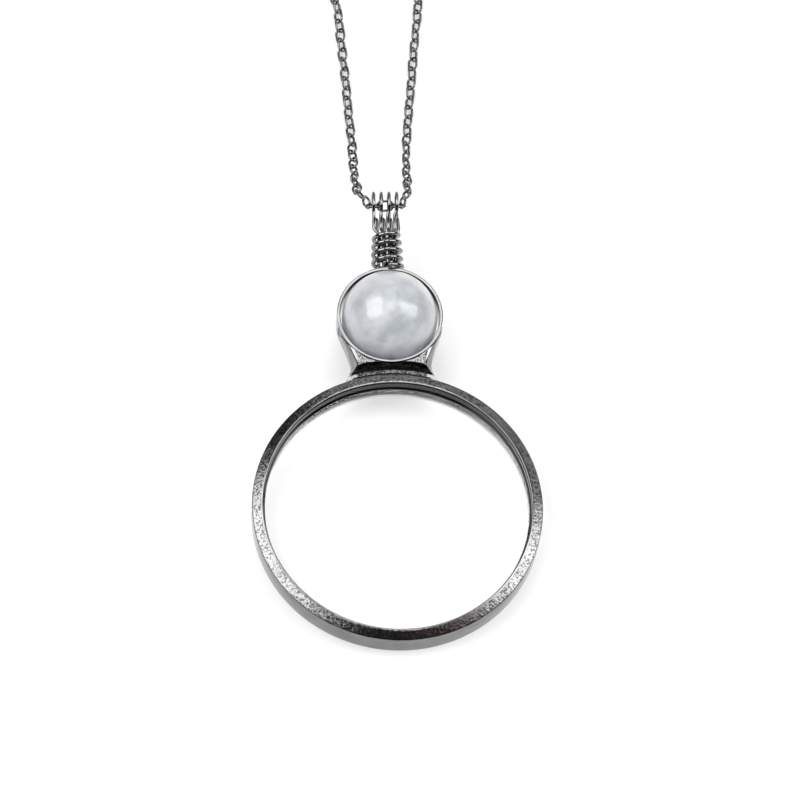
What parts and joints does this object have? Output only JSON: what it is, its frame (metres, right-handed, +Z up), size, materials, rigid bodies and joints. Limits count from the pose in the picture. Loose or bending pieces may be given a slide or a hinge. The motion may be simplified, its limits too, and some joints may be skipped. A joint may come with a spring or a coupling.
{
  "type": "magnifying lens pendant necklace",
  "caption": "Round magnifying lens in a metal ring on a hollow-sided neck, with a banded stone ball, a wire-wrapped bail and a cable chain laid out to a wound coil and a claw clasp.",
  "frame": {"origin": "on the table, under the middle of the pendant's box, chain left out", "axes": "+Y from the lens towards the bail and the chain, +Z up out of the table, +X to the right"},
  "size_m": [0.05, 0.1913, 0.0163],
  "materials": {
    "gunmetal": "cast, black-nickel plated, polished with a finely pebbled front face",
    "dark_wire": "black-nickel plated drawn wire, polished",
    "chain_metal": "gunmetal plated, polished",
    "clasp_metal": "gunmetal plated, tumbled",
    "spring_steel": "bright spring steel",
    "lens_glass": "clear, optically polished",
    "milky_stone": "milky translucent quartz, polished"
  },
  "bodies": {
    "chain": {"bail_link_1": "chain_metal", "bail_link_2": "chain_metal", "bail_link_3": "chain_metal", "turn_link_left": "chain_metal", "turn_link_right": "chain_metal", "chain_left": "chain_metal", "chain_right": "chain_metal", "chain_coil": "chain_metal", "chain_tail_clasp": "chain_metal", "chain_tail_ring": "chain_metal", "clasp_body": "clasp_metal", "clasp_rivet": "clasp_metal", "clasp_spring": "spring_steel", "clasp_jump_ring": "chain_metal", "end_ring": "chain_metal"},
    "pendant": {"lens_bezel": "gunmetal", "magnifier_lens": "lens_glass", "lens_snap_ring": "spring_steel", "neck_saddle": "gunmetal", "ball_band": "gunmetal", "stone_ball": "milky_stone", "ball_peg_top": "dark_wire", "ball_peg_bottom": "dark_wire", "neck_post": "gunmetal", "bail_loop_1": "dark_wire", "bail_loop_2": "dark_wire", "bail_loop_3": "dark_wire", "bail_loop_4": "dark_wire", "binding_coil": "dark_wire"},
    "clasp_lever": {"clasp_lever": "clasp_metal"}
  },
  "joints": [
    {"name": "pendant_swing", "type": "hinge", "parent": "chain", "child": "pendant", "pos_m": [0, 0.04077, 0.0102], "axis": [-1, 0, 0], "range_deg": [0, 120]},
    {"name": "clasp_lever_hinge", "type": "hinge", "parent": "chain", "child": "clasp_lever", "pos_m": [-0.0032, 0.14515, 0.00133], "axis": [0, 0, -1], "range_deg": [0, 16], "stiffness_Nm_per_rad": 0.00005, "springref_deg": -5.73}
  ]
}
